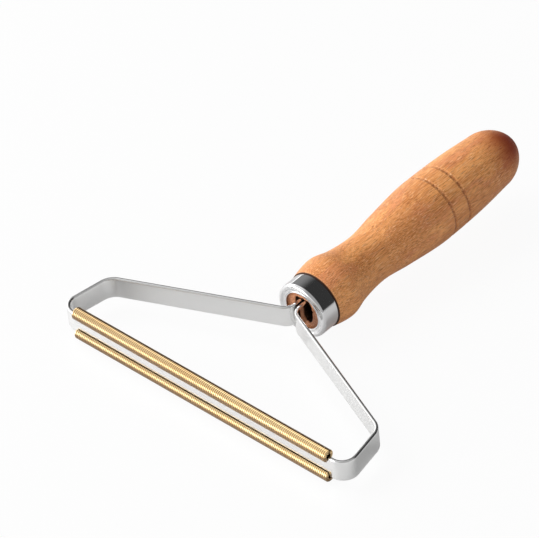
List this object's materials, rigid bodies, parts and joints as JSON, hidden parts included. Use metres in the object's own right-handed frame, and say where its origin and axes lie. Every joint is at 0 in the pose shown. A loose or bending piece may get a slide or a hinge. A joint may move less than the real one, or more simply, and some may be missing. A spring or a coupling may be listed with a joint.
{
  "type": "lint brush",
  "caption": "Hand lint brush: ribbed brass sleeves clipped along the front bar of a bent steel loop scrape lint off cloth; turned wooden handle with a plated ferrule.",
  "frame": {"origin": "middle of the whole brush's bounding box, on the handle's axis", "axes": "+Y runs along the handle from the brass bar to the rounded wooden end, +X along the brass bar, +Z square to the plane of the steel loop"},
  "size_m": [0.135, 0.17, 0.026],
  "materials": {
    "oiled_beech": "satin oiled beech with fine pores along the handle",
    "plated_steel": "bright plating",
    "polished_steel": "polished strip with rolled edges",
    "ribbed_brass": "satin brass with fine ribs round each sleeve"
  },
  "bodies": {
    "root": {"handle": "oiled_beech", "ferrule": "plated_steel", "frame_strip": "polished_steel", "upper_brass_sleeve": "ribbed_brass", "lower_brass_sleeve": "ribbed_brass"}
  },
  "joints": []
}
